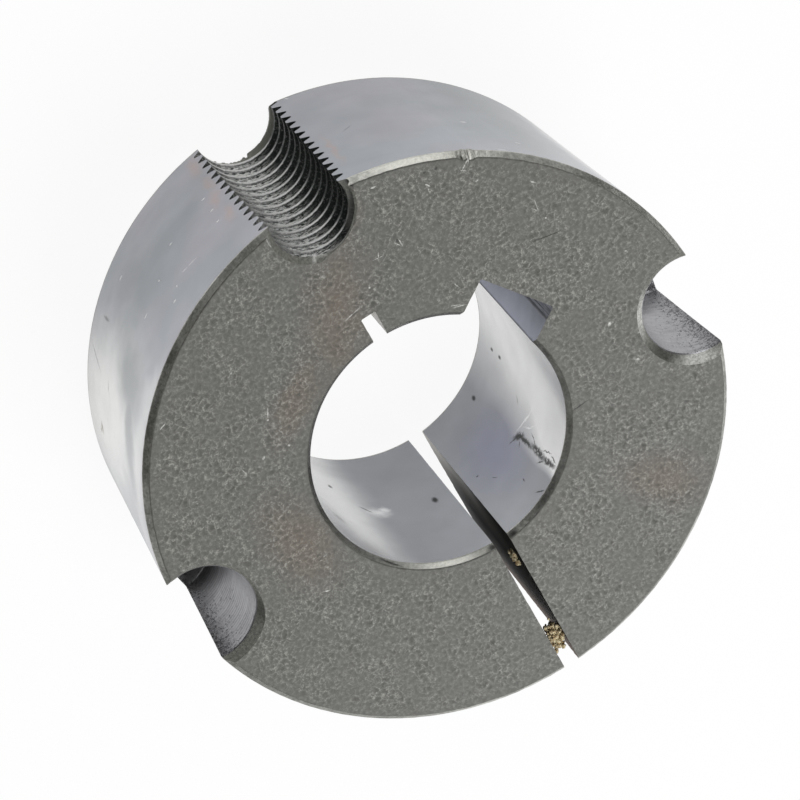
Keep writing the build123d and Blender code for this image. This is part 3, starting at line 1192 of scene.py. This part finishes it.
@dataclass(frozen=True)
class BoredIron(Finish):
    """A finely bored seat: smooth grey lilac, painted bright on both flanks as reflections, with pits, a
    scuff and smears.
    """

    radius: float = 12.5
    drift: float = 6.25                 # waves in the flanks' borders, and how far they reach
    drift_reach: float = 2.0
    right_flank: tuple = (8.6, 18.0)    # painted reflection on the right flank: along the arc, where it starts, and where it is full at the foot
    right_lean: float = -0.35           # how far that second border moves in each millimetre of height
    # the left flank's painted reflection, along the arc: where it starts and where it is full
    left_flank: tuple = (-6.0, -11.5)
    torn: float = 0.333                 # flecks in the scuff
    film: float = 4.0                   # where the oil is thick or thin
    line: tuple = (6.67, 6.67, 0.125)   # the boring tool's feed
    relief: float = 0.003
    roughness: float = 0.24
    dull: str = "#9ea0a5"
    blue: str = "#9092a2"
    # painted reflection: the colour of both flanks
    bright: str = "#f4f4f4"
    # the painted glare fields, and the smears
    bare: str = "#ffffff"
    deep: str = "#262825"
    blues: tuple = (Mark(5.4, 13.0, 6.0, 11.0, 0),)
    pits: tuple = (
        Mark(12.6, 6.5, 0.34, 0.66), Mark(12.5, 4.3, 0.3, 0.6), Mark(7.1, 3.8, 0.4, 0.8),
        Mark(-2.2, 13.0, 0.5, 1.0), Mark(-11.3, 8.1, 0.36, 0.7), Mark(0.8, 7.3, 0.7, 0.1, 18),
        Mark(-9.1, 12.6, 1.4, 0.14, 51), Mark(6.1, 24.1, 1.3, 0.14, 55), Mark(10.7, 12.4, 0.8, 0.08, 128),
        Mark(3.6, 16.0, 0.6, 0.08, 60), Mark(5.6, 20.4, 0.5, 0.1, 100), Mark(2.4, 13.6, 0.24, 0.2),
    )
    scuffs: tuple = (
        Mark(8.1, 15.4, 1.8, 0.7, 60), Mark(8.3, 17.0, 3.6, 0.46, 88), Mark(8.55, 20.2, 3.6, 0.7, 91),
        Mark(8.7, 23.0, 2.8, 0.56, 84), Mark(7.6, 14.9, 1.6, 0.14, 35), Mark(7.7, 16.0, 1.0, 0.12, 140),
        Mark(9.1, 18.4, 1.6, 0.12, 110), Mark(8.1, 21.4, 1.1, 0.14, 60), Mark(9.3, 21.8, 1.6, 0.13, 75),
        Mark(9.3, 23.6, 1.2, 0.16, 100),
    )
    smears: tuple = (
        Mark(9.9, 15.4, 2.6, 0.2, -150), Mark(9.6, 16.6, 1.6, 0.14, -115), Mark(-8.0, 13.2, 1.8, 1.5, 20),
        Mark(-7.2, 12.6, 0.9, 1.0), Mark(-12.2, 16.4, 2.2, 0.3, 60),
    )
    smudges: tuple = (Mark(-13.9, 17.6, 1.6, 0.7, 75), Mark(-12.8, 2.6, 1.4, 0.6, 10))
    # painted reflections: two broad bright fields
    glare_fields: tuple = (Mark(19.0, 12.7, 30.0, 9.0, 90), Mark(-13.8, 12.0, 30.0, 6.0, 90))

    def dress(self, tree: NodeTree, point: Value) -> Node:
        """A dull middle between two flanks painted bright as reflections, whose border leans with the height,
        under the marks.

        Args:
            tree: the material's node tree.
            point: coordinates in millimetres.

        Returns:
            The shader.
        """
        wall = unrolled(tree, point, self.radius, Front.SLIT_SIDE)
        arc, height, _ = add(tree, "SeparateXYZ", {0: wall}).outputs
        drift = add(tree, "TexNoise", {"Vector": wall, "Scale": 1 / self.drift, "Detail": 1.0})
        arc = add(tree, "Math", {0: drift, 1: self.drift_reach, 2: arc}, operation="MULTIPLY_ADD")
        full = add(tree, "Math", {
            0: height, 1: self.right_lean, 2: self.right_flank[1]}, operation="MULTIPLY_ADD")
        right = add(tree, "MapRange", {0: arc, 1: self.right_flank[0], 2: full})
        left = add(tree, "MapRange", {0: arc, **span(self.left_flank)}, interpolation_type="SMOOTHSTEP")
        # painted reflection: the bright flanks
        painted_bright = add(tree, "Math", {0: right, 1: left}, operation="MAXIMUM")
        scuff = marked(tree, wall, self.scuffs, rag=0.2, edge=0.45)
        torn = add(tree, "TexNoise", {"Vector": wall, "Scale": 1 / self.torn, "Detail": 2.0})
        torn = add(tree, "MapRange", {0: torn, 1: LOW, 2: 0.44})
        scuff = add(tree, "Math", {0: scuff, 1: torn}, operation="MULTIPLY")
        pit = marked(tree, wall, self.pits, rag=0.07, edge=0.4)
        deep = add(tree, "Math", {0: scuff, 1: pit}, operation="MAXIMUM")
        colour = painted(tree, self.dull, (
            (marked(tree, wall, self.blues, rag=0.8, edge=0.0), 1.0, self.blue),
            (painted_bright, 1.0, self.bright),
            (marked(tree, wall, self.glare_fields, rag=0.6, edge=0.1), 1.0, self.bare),
            (marked(tree, wall, self.smudges, rag=0.4, edge=0.0), 0.35, self.deep),
            (marked(tree, wall, self.smears, rag=0.3, edge=0.0), 0.7, self.bare),
            (deep, 0.95, self.deep),
        ))
        film = add(tree, "TexNoise", {"Vector": wall, "Scale": 1 / self.film, "Detail": 2.0})
        colour = varied(tree, colour, film, (LOW, HIGH), (0.95, 1.05))
        lines = streaks(tree, point, self.line, detail=2.0)
        relief = add(tree, "Math", {0: deep, 1: -8.0, 2: lines}, operation="MULTIPLY_ADD")
        bump = add(tree, "Bump", {"Strength": 0.3, "Distance": self.relief * METRES, "Height": relief})
        return add(tree, "BsdfPrincipled", {
            "Base Color": colour, "Metallic": 1.0, "Roughness": self.roughness, "Normal": bump})


@dataclass(frozen=True)
class BroachedIron(Finish):
    """A broached wall: smooth blue grey, scored by the broach's corner teeth in a strip by the floor."""

    heading_degrees: float              # the way the slot points, from +X
    bore_radius: float
    scored_from: float                  # where the scored strip starts, from the bore axis
    strip_fade: float = 0.15
    shade_reach: float = 2.0            # how far past that the clouds are darkest, and how far they wander
    edge: tuple = (0.45, 0.6)           # how far inside the bore's radius a dark line starts and is full
    cloud: float = 3.33
    line: tuple = (0.286, 0.286, 12.5)  # a tooth's score, really 0.05 wide, drawn so coarse that it shows
    relief: float = 0.01
    roughness: float = 0.3
    plain: str = "#9093a0"
    shade: str = "#64676e"
    score: str = "#2a2c2e"

    def dress(self, tree: NodeTree, point: Value) -> Node:
        """Clouds that darken outwards, a dark line at the bore and fine lines up Z in the scored strip.

        Args:
            tree: the material's node tree.
            point: coordinates in millimetres.

        Returns:
            The shader.
        """
        heading = math.radians(self.heading_degrees)
        reach = add(tree, "VectorMath", {0: point, 1: (math.cos(heading), math.sin(heading), 0)},
                    operation="DOT_PRODUCT").outputs["Value"]
        cloud = add(tree, "TexNoise", {"Vector": point, "Scale": 1 / self.cloud, "Detail": 3.0})
        outer = add(tree, "Math", {0: cloud, 1: self.shade_reach, 2: reach}, operation="MULTIPLY_ADD")
        darkest = self.scored_from + self.shade_reach
        shade = add(tree, "MapRange", {0: outer, 1: self.bore_radius, 2: darkest})
        lines = streaks(tree, point, self.line, detail=2.0)
        strip = add(tree, "MapRange", {
            0: reach, 1: self.scored_from, 2: self.scored_from + self.strip_fade})
        scored = add(tree, "MapRange", {0: lines, 1: 0.48, 2: 0.54})
        scored = add(tree, "Math", {0: scored, 1: strip}, operation="MULTIPLY")
        edge = add(tree, "MapRange", {
            0: reach, 1: self.bore_radius - self.edge[0], 2: self.bore_radius - self.edge[1]})
        colour = painted(tree, self.plain, (
            (shade, 1.0, self.shade),
            (scored, 0.8, self.score),
            (edge, 0.7, self.score),
        ))
        bump = add(tree, "Bump", {"Strength": 0.6, "Distance": self.relief * METRES, "Height": scored})
        return add(tree, "BsdfPrincipled", {
            "Base Color": colour, "Metallic": 1.0, "Roughness": self.roughness, "Normal": bump})


@dataclass(frozen=True)
class SawnIron(Finish):
    """A sawn wall: grey brown low down near the bore as a painted reflection, painted nearly black as shade
    further out, and rusty at the side.
    """

    # painted shade: the wall's near-black base
    dark: str = "#242421"
    # painted reflection of the floor's light low on the wall, and the relief slot's walls
    pale_tone: str = "#aeaaa2"
    light: str = "#45453f"
    rust: str = "#6b4a30"
    lit_reach: tuple = (-14.0, -20.0)       # where along Y the painted reflection starts to fade, and where it is gone at every height
    rusty: tuple = (-22.5, -26.0)       # where along Y the rust starts, and where it is full
    pale_wall: tuple = (22.0, 14.5)         # heights where the painted reflection starts, and where it is full
    rust_wander: float = 2.5            # how far these borders wander
    # how far the painted reflection's border wanders in height
    oil_wander: float = 3.0
    line: tuple = (0.333, 0.333, 3.33)  # the saw's lines
    relief: float = 0.02
    metallic: tuple = (0.6, 0.4)        # on the dark wall, and how much more where it is pale
    roughness: tuple = (0.6, -0.3)

    def dress(self, tree: NodeTree, point: Value) -> Node:
        """Speckled noise over the saw's lines, which stand up Z, and rust that fades in along Y.

        Args:
            tree: the material's node tree.
            point: coordinates in millimetres.

        Returns:
            The shader.
        """
        lines = streaks(tree, point, self.line, detail=4.0)
        _, y, z = add(tree, "SeparateXYZ", {0: point}).outputs
        ragged = add(tree, "Math", {0: lines, 1: self.rust_wander, 2: y}, operation="MULTIPLY_ADD")
        rust = add(tree, "MapRange", {0: ragged, **span(self.rusty)})
        # painted reflection: lighter low down and near the bore
        low = add(tree, "Math", {0: lines, 1: self.oil_wander, 2: z}, operation="MULTIPLY_ADD")
        low = add(tree, "MapRange", {0: low, **span(self.pale_wall)})
        near = add(tree, "MapRange", {0: y, 1: self.lit_reach[1], 2: self.lit_reach[0]})
        low = add(tree, "Math", {0: low, 1: near}, operation="MULTIPLY")
        relief_slot = add(tree, "Math", {0: y, 1: 0.0}, operation="GREATER_THAN")
        pale_wall = add(tree, "Math", {0: low, 1: relief_slot}, operation="MAXIMUM")
        mask = add(tree, "MapRange", {0: lines, 1: 0.35, 2: 0.65})
        colour = painted(tree, self.dark, (
            (pale_wall, 1.0, self.pale_tone),
            (mask, 0.5, self.light),
            (rust, 0.8, self.rust),
        ))
        bump = add(tree, "Bump", {"Strength": 1.0, "Distance": self.relief * METRES, "Height": lines})
        metallic = add(tree, "Math", {
            0: pale_wall, 1: self.metallic[1], 2: self.metallic[0]}, operation="MULTIPLY_ADD")
        roughness = add(tree, "Math", {
            0: pale_wall, 1: self.roughness[1], 2: self.roughness[0]}, operation="MULTIPLY_ADD")
        return add(tree, "BsdfPrincipled", {
            "Base Color": colour, "Metallic": metallic, "Roughness": roughness, "Normal": bump})


@dataclass(frozen=True)
class TappedIron(Finish):
    """A tapped thread: roots painted black as oil and shade, thin bright crests with a painted highlight, one
    side painted silvery as a reflection.
    """

    thread: JackingThread
    # oil and painted shade in the grooves and on the side without crests
    root: str = "#3a3e3c"
    grey: str = "#a2a4a2"
    # painted highlight on the crests
    crest: str = "#e4e4e2"
    # painted reflection: the silvery flank
    torn: str = "#f6f7f4"
    burr: str = "#b5b5aa"               # the last half turn, where the tap broke out
    lip: str = "#7b7b76"                # the first half turn, worn down to the face
    lip_depth: float = 1.3              # how much deeper it is worn on the +X side
    lip_arc: tuple = (1.5, 4.5)         # along the arc, where that wear starts, and where it is full
    lip_height: tuple = (24.8, 25.2)    # where the lip starts, and where it is full
    burr_height: tuple = (1.3, 1.0)
    lip_wander: float = 0.8             # how far the grit moves the borders of the lip and of the burr
    crest_highlight_end: tuple = (3.8, 2.6)       # where the painted crest highlight fades, along the arc towards +X
    sheen_end: tuple = (2.6, 0.6)        # and where the painted silvery reflection does
    end_wander: float = 1.6
    crest_lift: float = 0.2             # a bright crest's height over a groove's middle
    crest_wander: float = 0.34
    crest_fade: tuple = (0.26, 0.1)     # distance from its middle where a crest ends, and where it is full
    crest_narrowing: float = 0.025      # how much narrower it gets in each millimetre of the arc
    sheet_fade: tuple = (0.05, 0.13)    # where the painted reflection starts over a flank, and where it is full
    grit: float = 0.25                  # torn metal, really 0.1, drawn so coarse that it shows
    line: tuple = (0.556, 0.0667, 1.0)  # the tap's drag lines, along the arc and across it
    relief: float = 0.06
    roughness: float = 0.36

    def dress(self, tree: NodeTree, point: Value) -> Node:
        """Lines and crests follow the helix: its rise is the height less pitch times the share of a turn.

        Args:
            tree: the material's node tree.
            point: coordinates in millimetres.

        Returns:
            The shader.
        """
        thread = self.thread
        local = add(tree, "VectorMath", {0: point, 1: (*thread.centre, 0)}, operation="SUBTRACT")
        wall = unrolled(tree, local, thread.crest_radius, Front.SLIT_SIDE)
        arc, height, _ = add(tree, "SeparateXYZ", {0: wall}).outputs
        lead = -thread.pitch / (FULL_TURN * thread.crest_radius)
        rise = add(tree, "Math", {0: arc, 1: lead, 2: height}, operation="MULTIPLY_ADD")
        grit = add(tree, "TexNoise", {
            "Vector": point, "Scale": 1 / self.grit, "Detail": 3.0, "Roughness": 0.7})
        strand = add(tree, "CombineXYZ", {0: arc, 1: rise})
        lines = streaks(tree, strand, self.line, detail=4.0, roughness=0.7)

        above = add(tree, "Math", {0: rise, 1: -thread.first_groove}, operation="ADD")
        above = add(tree, "Math", {0: grit, 1: self.crest_wander, 2: above}, operation="MULTIPLY_ADD")
        above = add(tree, "Math", {
            0: above, 1: self.crest_lift + thread.pitch / 2, 2: self.crest_lift - thread.pitch / 2},
            operation="WRAP")
        above = add(tree, "Math", {0: above, 1: -self.crest_lift}, operation="ADD")
        where = add(tree, "Math", {0: grit, 1: self.end_wander, 2: arc}, operation="MULTIPLY_ADD")
        away = add(tree, "Math", {0: above}, operation="ABSOLUTE")
        away = add(tree, "Math", {0: where, 1: self.crest_narrowing, 2: away}, operation="MULTIPLY_ADD")
        crest = add(tree, "MapRange", {0: away, **span(self.crest_fade)})
        sheet = add(tree, "Math", {0: above, 1: self.crest_lift}, operation="SUBTRACT")
        sheet = add(tree, "Math", {0: sheet, 1: thread.pitch / 4}, operation="PINGPONG")
        sheet = add(tree, "MapRange", {0: sheet, **span(self.sheet_fade)})
        # the painted crest highlight fades towards +X
        ended = add(tree, "MapRange", {0: where, **span(self.crest_highlight_end)})
        crest = add(tree, "Math", {0: crest, 1: ended}, operation="MULTIPLY")

        # painted reflection: the silvery flank
        sheen_side = add(tree, "MapRange", {0: where, **span(self.sheen_end)}, interpolation_type="SMOOTHSTEP")
        streak = add(tree, "MapRange", {0: lines, 1: 0.44, 2: 0.52})
        silver_sheen = add(tree, "Math", {0: sheen_side, 1: streak}, operation="MULTIPLY")
        silver_sheen = add(tree, "Math", {0: silver_sheen, 1: sheet}, operation="MULTIPLY")
        spark = add(tree, "MapRange", {0: grit, 1: 0.54, 2: 0.66})
        burr = add(tree, "Math", {0: grit, 1: self.lip_wander, 2: height}, operation="MULTIPLY_ADD")
        burr = add(tree, "MapRange", {0: burr, **span(self.burr_height)})
        lip = add(tree, "MapRange", {0: arc, **span(self.lip_arc), 3: 0.0, 4: self.lip_depth})
        lip = add(tree, "Math", {0: lip, 1: height}, operation="ADD")
        lip = add(tree, "Math", {0: grit, 1: self.lip_wander, 2: lip}, operation="MULTIPLY_ADD")
        lip = add(tree, "MapRange", {0: lip, **span(self.lip_height)})
        colour = painted(tree, self.root, (
            (silver_sheen, 0.9, self.torn),
            (crest, 0.85, self.crest),
            (burr, 0.85, self.burr),
            (lip, 0.85, self.lip),
            (spark, 0.5, self.grey),
        ))
        relief = add(tree, "Math", {0: grit, 1: lines}, operation="ADD")
        bump = add(tree, "Bump", {"Strength": 1.0, "Distance": self.relief * METRES, "Height": relief})
        rough = add(tree, "Math", {0: burr, 1: lip}, operation="MAXIMUM")
        metallic = add(tree, "Math", {0: rough, 1: -0.7, 2: 1.0}, operation="MULTIPLY_ADD")
        return add(tree, "BsdfPrincipled", {
            "Base Color": colour, "Metallic": metallic, "Roughness": self.roughness, "Normal": bump})


@dataclass(frozen=True)
class DrilledIron(Finish):
    """A drilled half hole: lilac grey iron, smooth in the depth and pitted where the drill broke the side."""

    bush: TaperedSide
    plain: str = "#a6a6a9"
    shade: str = "#7c7c7f"
    pit: str = "#2c2c2c"
    oil: str = "#33332f"
    oily: tuple = (14.0, 11.6)          # heights where the oil in the left hole starts, and where it is full
    oil_wander: float = 3.0
    broken: tuple = (3.2, 0.6)          # depths under the side where the pits start and are thickest
    cloud: float = 2.86
    ring: tuple = (3.33, 3.33, 0.455)   # faint rings of the drill's feed
    grit: float = 0.286                 # pits, really 0.1, drawn so coarse that they show
    chatter: float = 0.42               # depth between two dark rings
    relief: float = 0.01
    roughness: float = 0.34
    chattered: tuple = (Mark(-23.4, -6.4, 5.0, 2.0, 40),)

    def dress(self, tree: NodeTree, point: Value) -> Node:
        """Faint tool rings over clouds, and specks that thicken towards the tapered side.

        Args:
            tree: the material's node tree.
            point: coordinates in millimetres.

        Returns:
            The shader.
        """
        flat = add(tree, "VectorMath", {0: point, 1: (1, 1, 0)}, operation="MULTIPLY")
        radius = add(tree, "VectorMath", {0: flat}, operation="LENGTH").outputs["Value"]
        cloud = add(tree, "TexNoise", {"Vector": point, "Scale": 1 / self.cloud, "Detail": 3.0})
        lines = streaks(tree, point, self.ring, detail=3.0)
        grit = add(tree, "TexNoise", {
            "Vector": point, "Scale": 1 / self.grit, "Detail": 3.0, "Roughness": 0.7})
        side = self.bush.radius(self.bush.length)
        broken = add(tree, "MapRange", {
            0: radius, 1: side - self.broken[0], 2: side - self.broken[1], 3: 0.0, 4: 0.14})
        speckle = add(tree, "Math", {0: grit, 1: broken}, operation="SUBTRACT")
        speckle = add(tree, "MapRange", {0: speckle, 1: 0.4, 2: LOW})
        both = add(tree, "Math", {0: cloud, 1: lines}, operation="ADD")
        shade = add(tree, "MapRange", {0: both, 1: 0.8, 2: 1.2})
        x, _, z = add(tree, "SeparateXYZ", {0: point}).outputs
        left = add(tree, "Math", {0: x, 1: 0.0}, operation="LESS_THAN")
        oil = add(tree, "Math", {0: cloud, 1: self.oil_wander, 2: z}, operation="MULTIPLY_ADD")
        oil = add(tree, "MapRange", {0: oil, **span(self.oily)})
        oil = add(tree, "Math", {0: oil, 1: left}, operation="MULTIPLY")
        ring = add(tree, "Math", {0: z, 1: FULL_TURN / self.chatter}, operation="MULTIPLY")
        ring = add(tree, "Math", {0: cloud, 1: 9.0, 2: ring}, operation="MULTIPLY_ADD")
        ring = add(tree, "Math", {0: ring}, operation="SINE")
        ring = add(tree, "MapRange", {0: ring, 1: 0.55, 2: 0.95})
        ring = add(tree, "Math", {
            0: ring, 1: marked(tree, flat, self.chattered, rag=0.5, edge=0.0)}, operation="MULTIPLY")
        colour = painted(tree, self.plain, (
            (shade, 0.5, self.shade),
            (ring, 0.5, self.pit),
            (oil, 0.55, self.oil),
            (speckle, 0.65, self.pit),
        ))
        relief = add(tree, "Math", {0: speckle, 1: -2.0, 2: lines}, operation="MULTIPLY_ADD")
        bump = add(tree, "Bump", {"Strength": 0.7, "Distance": self.relief * METRES, "Height": relief})
        return add(tree, "BsdfPrincipled", {
            "Base Color": colour, "Metallic": 1.0, "Roughness": self.roughness, "Normal": bump})


@dataclass(frozen=True)
class CountersunkIron(Finish):
    """The broken edge of a drilled hole: coarse iron, bright where struck and where a highlight is painted,
    with painted shade between.
    """

    plain: str = "#86867f"
    bare: str = "#f0f0ec"
    # the colour of the painted shade patches
    grime: str = "#4a4a46"
    tear: float = 0.25                  # spots torn by the tool, really 0.1, drawn so coarse that they show
    relief: float = 0.04
    metallic: float = 0.4               # half hidden under oil and dust
    roughness: float = 0.6
    # struck metal, and a painted highlight on the countersinks
    struck_and_glare: tuple = (
        Mark(21.9, -0.2, 4.0, 1.5, 62), Mark(24.8, -7.5, 4.4, 1.8, -18), Mark(-1.2, 23.1, 1.3, 0.3, 15),
        Mark(-4.5, 28.2, 0.8, 0.6, 60),
    )
    # painted shade on the countersinks
    shade_patches: tuple = (Mark(22.1, -5.0, 3.4, 1.5, -50), Mark(-21.8, -5.2, 4.4, 2.4, -65))

    def dress(self, tree: NodeTree, point: Value) -> Node:
        """Coarse noise in colour and relief, under patches seen from above.

        Args:
            tree: the material's node tree.
            point: coordinates in millimetres.

        Returns:
            The shader.
        """
        flat = add(tree, "VectorMath", {0: point, 1: (1, 1, 0)}, operation="MULTIPLY")
        torn = add(tree, "TexNoise", {
            "Vector": point, "Scale": 1 / self.tear, "Detail": 4.0, "Roughness": 0.65})
        colour = painted(tree, self.plain, (
            (marked(tree, flat, self.struck_and_glare, rag=0.4, edge=0.1), 0.8, self.bare),
            (marked(tree, flat, self.shade_patches, rag=0.4, edge=0.1), 0.8, self.grime),
        ))
        colour = varied(tree, colour, torn, (0.35, 0.65), (0.6, 1.2))
        bump = add(tree, "Bump", {"Strength": 1.0, "Distance": self.relief * METRES, "Height": torn})
        return add(tree, "BsdfPrincipled", {
            "Base Color": colour, "Metallic": self.metallic, "Roughness": self.roughness, "Normal": bump})


@dataclass(frozen=True)
class DriedDirt(Finish):
    """Dried swarf and rust dust: matt crumbs in tan and brown."""

    tan: str = "#ddd2b0"
    brown: str = "#a98c62"
    grit: float = 0.25                  # grains, really 0.1, drawn so coarse that they show
    relief: float = 0.05
    roughness: float = 0.85

    def dress(self, tree: NodeTree, point: Value) -> Node:
        """Each grain has its own shade between tan and brown.

        Args:
            tree: the material's node tree.
            point: coordinates in millimetres.

        Returns:
            The shader.
        """
        grit = add(tree, "TexNoise", {
            "Vector": point, "Scale": 1 / self.grit, "Detail": 3.0, "Roughness": 0.6})
        mask = add(tree, "MapRange", {0: grit, 1: 0.46, 2: 0.6})
        bump = add(tree, "Bump", {"Strength": 1.0, "Distance": self.relief * METRES, "Height": grit})
        return add(tree, "BsdfPrincipled", {
            "Base Color": painted(tree, self.tan, ((mask, 1.0, self.brown),)),
            "Roughness": self.roughness, "Normal": bump,
        })


def bush_finishes(side: TaperedSide) -> list:
    """The finish of each zone of the bush.

    Args:
        side: the bush's tapered side.

    Returns:
        The materials, in the order of Zone.
    """
    return [
        PhosphatedIron("phosphated_iron").build(),
        GroundTaper("ground_iron").build(),
        TurnedChamfer("turned_chamfer").build(),
        BoredIron("bored_iron").build(),
        TurnedChamfer(
            "turned_bore_chamfer", dark="#93938d", light="#cfcfc9", radius=12.7, front=Front.SLIT_SIDE,
            struck_and_glare=(Mark(-5.4, 25.15, 7.0, 0.9), Mark(3.2, 25.2, 0.4, 0.2, 40), Mark(2.4, 25.2, 0.3, 0.2)),
            dirty=(Mark(1.6, 25.2, 1.0, 0.5), Mark(-11.0, 25.1, 2.0, 0.14, 5), Mark(-0.7, 25.2, 0.8, 0.4)),
            dull=(Mark(8.0, 25.2, 6.0, 1.0),),
        ).build(),
        BroachedIron("broached_iron", heading_degrees=35.0, bore_radius=12.5, scored_from=14.3).build(),
        SawnIron("sawn_iron").build(),
        TappedIron("tapped_iron", JackingThread(90.0)).build(),
        DrilledIron("drilled_iron", side).build(),
        CountersunkIron("countersunk_iron").build(),
        PhosphatedIron(
            "phosphated_small_end", stains=(Mark(8, 16, 9, 5, 20),), gouges=(Mark(-6, -20, 1.2, 0.14, 15),),
            scratches=(Mark(-14, 12, 1.4, 0.12, 30), Mark(9, -17, 0.8, 0.1, -60)),
        ).build(),
    ]


# ---------------------------------------------------------------------------------------------------------
# Studio
# ---------------------------------------------------------------------------------------------------------


def outward(azimuth_degrees: float, elevation_degrees: float) -> Vector:
    """The unit vector at an azimuth from +X and an elevation over the floor.

    Args:
        azimuth_degrees: angle round Z.
        elevation_degrees: angle over the floor.

    Returns:
        The vector (cos a cos e, sin a cos e, sin e).
    """
    azimuth, elevation = math.radians(azimuth_degrees), math.radians(elevation_degrees)
    return Vector((
        math.cos(azimuth) * math.cos(elevation),
        math.sin(azimuth) * math.cos(elevation),
        math.sin(elevation),
    ))


@dataclass(frozen=True)
class Viewpoint:
    """The camera: it stands on the jacking hole's side, looks down on the large end and is turned over."""

    aim: tuple = (-0.271, -1.173, 12.7)
    distance: float = 555.84
    azimuth_degrees: float = 98.206
    elevation_degrees: float = 59.785
    roll_degrees: float = 140.453
    lens: float = 265.49
    sensor: float = 36.0
    nearest: float = 50.0
    farthest: float = 20000.0

    def build(self) -> Object:
        """Places the camera on a sphere round the aim, looking inwards, then rolls it about its own axis.

        Returns:
            The camera.
        """
        back = outward(self.azimuth_degrees, self.elevation_degrees)
        data = bpy.data.cameras.new("camera")
        data.lens, data.sensor_width = self.lens, self.sensor
        data.clip_start, data.clip_end = self.nearest * METRES, self.farthest * METRES
        camera = bpy.data.objects.new("camera", data)
        bpy.context.scene.collection.objects.link(camera)
        upright = (-back).to_track_quat("-Z", "Y").to_matrix()
        turned = upright @ Matrix.Rotation(math.radians(self.roll_degrees), 3, "Z")
        place = (Vector(self.aim) + back * self.distance) * METRES
        camera.matrix_world = Matrix.LocRotScale(place, turned, None)
        bpy.context.scene.camera = camera
        return camera


@dataclass(frozen=True)
class SoftBox:
    """A square lamp that faces the bush."""

    name: str
    azimuth_degrees: float
    elevation_degrees: float
    distance: float
    size: float
    radiance: float

    def build(self) -> Object:
        """Places the lamp on a sphere round the origin; its power is radiance times pi times its area.

        Returns:
            The lamp.
        """
        back = outward(self.azimuth_degrees, self.elevation_degrees)
        data = bpy.data.lights.new(self.name, "AREA")
        data.shape = "SQUARE"
        data.size = self.size * METRES
        data.energy = self.radiance * math.pi * data.size**2
        lamp = bpy.data.objects.new(self.name, data)
        lamp.location = back * self.distance * METRES
        lamp.rotation_euler = back.to_track_quat("Z", "Y").to_euler()
        bpy.context.scene.collection.objects.link(lamp)
        return lamp


@dataclass(frozen=True)
class Studio:
    """A white floor in a dim room, a large soft box behind the bush and a small one low at its side."""

    floor_size: float = 3000.0
    floor_drop: float = 0.02        # keeps the floor clear of the small end
    room_level: float = 0.15
    eye_glow: float = 0.93          # share of the floor's white that no shadow darkens, to the eye
    metal_glow: float = 0.6         # and in the metal's reflections, which keep the floor's light and shade
    key: SoftBox = SoftBox("key_box", -88.0, 64.0, distance=600.0, size=380.0, radiance=6.6)
    side: SoftBox = SoftBox("side_box", 53.0, 27.0, distance=500.0, size=220.0, radiance=2.6)

    def build(self) -> None:
        """Builds the floor, the world and the lamps."""
        self.build_floor()
        self.build_world()
        self.key.build()
        self.side.build()

    def build_floor(self) -> Object:
        """A flat sheet under the small end, white to the eye and to reflections, that keeps a soft shadow.

        Returns:
            The floor.
        """
        half = self.floor_size / 2
        corners = np.array([(-half, -half, 0), (half, -half, 0), (half, half, 0), (-half, half, 0)])
        floor = write_mesh("floor", corners - (0, 0, self.floor_drop), [[0, 1, 2, 3]], np.zeros(1))
        material = bpy.data.materials.new("white_sweep")
        material.use_nodes = True
        tree = material.node_tree
        tree.nodes.clear()
        matte = add(tree, "BsdfDiffuse", {"Color": (1, 1, 1, 1)})
        glow = add(tree, "Emission", {"Color": (1, 1, 1, 1), "Strength": 1.0})
        path = add(tree, "LightPath")
        eye = add(tree, "Math", {
            0: path.outputs["Is Camera Ray"], 1: path.outputs["Is Transmission Ray"]}, operation="MAXIMUM")
        eye_share = add(tree, "Math", {0: eye, 1: self.eye_glow}, operation="MULTIPLY")
        share = add(tree, "Math", {
            0: path.outputs["Is Glossy Ray"], 1: self.metal_glow, 2: eye_share}, operation="MULTIPLY_ADD")
        surface = add(tree, "MixShader", {0: share, 1: matte, 2: glow})
        add(tree, "OutputMaterial", {"Surface": surface})
        floor.data.materials.append(material)
        return floor

    def build_world(self) -> None:
        """The dim room: an even grey from all round."""
        world = bpy.data.worlds.new("studio")
        world.use_nodes = True
        tree = world.node_tree
        tree.nodes.clear()
        light = add(tree, "Background", {"Color": (1, 1, 1, 1), "Strength": self.room_level})
        add(tree, "OutputWorld", {"Surface": light})
        bpy.context.scene.world = world


def main() -> None:
    """Builds the bush, dresses it and sets up the studio."""
    logging.basicConfig(level=logging.INFO, format="%(message)s")
    bpy.context.scene.view_settings.view_transform = "Standard"
    Viewpoint().build()
    Studio().build()
    side = TaperedSide()
    bush = TaperBush(side).build(bush_finishes(side))
    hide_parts(NODE)
    dirt = DriedDirt("dried_dirt").build()
    pieces = [bush, *(clump.build(dirt) for clump in DIRT)]
    for piece in pieces:
        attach(piece, "root")
        triangles = sum(len(p.vertices) - 2 for p in piece.data.polygons)
        LOG.info("%s: %d triangles", piece.name, triangles)


if __name__ == "__main__":
    main()
